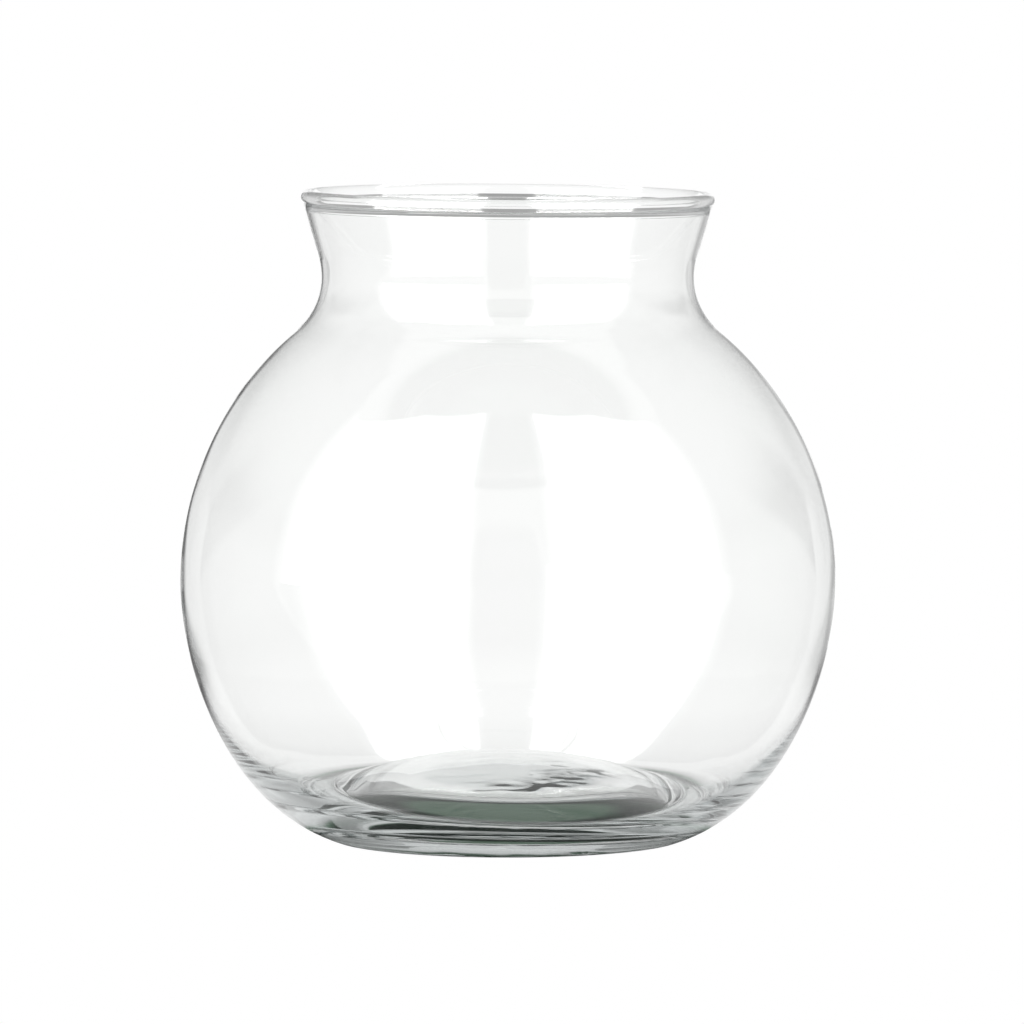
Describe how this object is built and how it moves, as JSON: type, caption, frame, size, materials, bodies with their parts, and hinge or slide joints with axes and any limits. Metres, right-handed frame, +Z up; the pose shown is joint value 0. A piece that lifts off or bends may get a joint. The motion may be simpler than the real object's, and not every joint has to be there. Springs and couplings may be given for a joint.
{
  "type": "fishbowl vase",
  "caption": "Clear glass flower vase with a round bowl, a drawn-in throat and a flared mouth with a rounded rim, standing on a foot ring.",
  "frame": {"origin": "centre of the foot ring, on the surface that the vase stands on", "axes": "+Z up along the vase's axis of revolution; X and Y are any two square directions, because the vase is round"},
  "size_m": [0.203, 0.203, 0.2005],
  "materials": {
    "clear_glass": "clear blown soda-lime glass with a fire-polished rim and a faint green tint in the thick base"
  },
  "bodies": {
    "root": {"glass_vessel": "clear_glass"}
  },
  "joints": []
}
